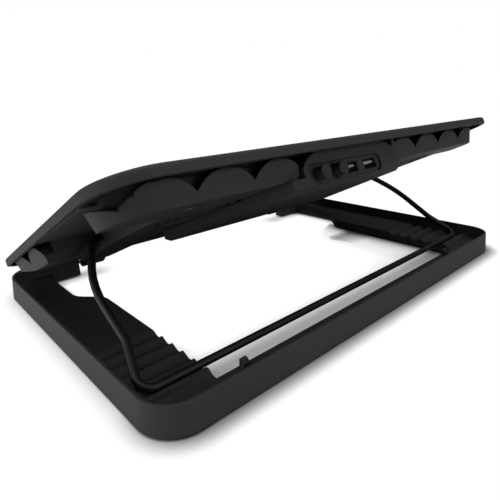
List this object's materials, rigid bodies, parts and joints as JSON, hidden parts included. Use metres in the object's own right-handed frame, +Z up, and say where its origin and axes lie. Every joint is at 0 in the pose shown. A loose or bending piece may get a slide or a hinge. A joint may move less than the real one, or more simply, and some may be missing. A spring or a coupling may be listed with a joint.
{
  "type": "laptop cooling pad",
  "caption": "Tilting laptop cooling pad: a vented tray with fans hinged on a U-shaped toothed base and propped by a bent wire stand, with rear controls and USB sockets.",
  "frame": {"origin": "middle of the base's footprint, on the floor under its rubber feet", "axes": "+X to the user's right, +Y to the rear, where the controls are, +Z up"},
  "size_m": [0.384, 0.244, 0.126],
  "materials": {
    "base_plastic": "satin near-black moulded plastic",
    "tray_plastic": "satin near-black moulded plastic",
    "fan_plastic": "plain black plastic",
    "knob_plastic": "smooth black plastic",
    "wire_paint": "gloss black coated steel wire",
    "mesh_paint": "black coated sheet metal",
    "rubber": "matt black rubber",
    "steel": "plated steel",
    "coil": "copper winding",
    "board": "green lacquered board",
    "tongue": "off-white socket insert"
  },
  "bodies": {
    "base": {"base_frame": "base_plastic", "tooth_rack_right": "base_plastic", "tooth_rack_left": "base_plastic", "base_feet": "rubber", "hinge_pins": "steel"},
    "tray": {"lower_housing": "tray_plastic", "top_plate": "tray_plastic", "mesh_panel": "mesh_paint", "grip_pads": "rubber", "fan_frame_right": "fan_plastic", "fan_frame_left": "fan_plastic", "fan_stators": "coil", "fan_leads": "rubber", "control_box": "tray_plastic", "control_panel": "tray_plastic", "knob_control": "fan_plastic", "button_switch": "fan_plastic", "circuit_board": "board", "usb_shells": "steel", "usb_tongues": "tongue", "stop_pins": "steel", "housing_screws": "steel"},
    "stand": {"wire_stand": "wire_paint"},
    "right_rotor": {"fan_rotor_right": "fan_plastic"},
    "left_rotor": {"fan_rotor_left": "fan_plastic"},
    "knob": {"speed_knob": "knob_plastic"},
    "button": {"power_button": "knob_plastic"},
    "right_stop": {"stop_right": "tray_plastic"},
    "left_stop": {"stop_left": "tray_plastic"}
  },
  "joints": [
    {"name": "tray_tilt", "type": "hinge", "parent": "base", "child": "tray", "pos_m": [0, -0.114, 0.0135], "axis": [1, 0, 0], "range_deg": [0, 45]},
    {"name": "stand_swing", "type": "hinge", "parent": "tray", "child": "stand", "pos_m": [0, -0.00767, 0.06478], "axis": [1, 0, 0], "range_deg": [0, 43]},
    {"name": "right_fan_spin", "type": "hinge", "parent": "tray", "child": "right_rotor", "pos_m": [0.11303, 0.05103, 0.09153], "axis": [0, -0.4075, 0.9132], "continuous": true},
    {"name": "left_fan_spin", "type": "hinge", "parent": "tray", "child": "left_rotor", "pos_m": [-0.11303, 0.05103, 0.09153], "axis": [0, -0.4075, 0.9132], "continuous": true},
    {"name": "knob_turn", "type": "hinge", "parent": "tray", "child": "knob", "pos_m": [0.0553, 0.09947, 0.10543], "axis": [0, 0.9132, 0.4075], "range_deg": [0, 270]},
    {"name": "button_press", "type": "slide", "parent": "tray", "child": "button", "axis": [0, -0.9132, -0.4075], "range_m": [0, 0.002], "stiffness_N_per_m": 400},
    {"name": "right_stop_flip", "type": "hinge", "parent": "tray", "child": "right_stop", "pos_m": [0.088, -0.10952, 0.02848], "axis": [1, 0, 0], "range_deg": [0, 90]},
    {"name": "left_stop_flip", "type": "hinge", "parent": "tray", "child": "left_stop", "pos_m": [-0.088, -0.10952, 0.02848], "axis": [1, 0, 0], "range_deg": [0, 90]}
  ]
}
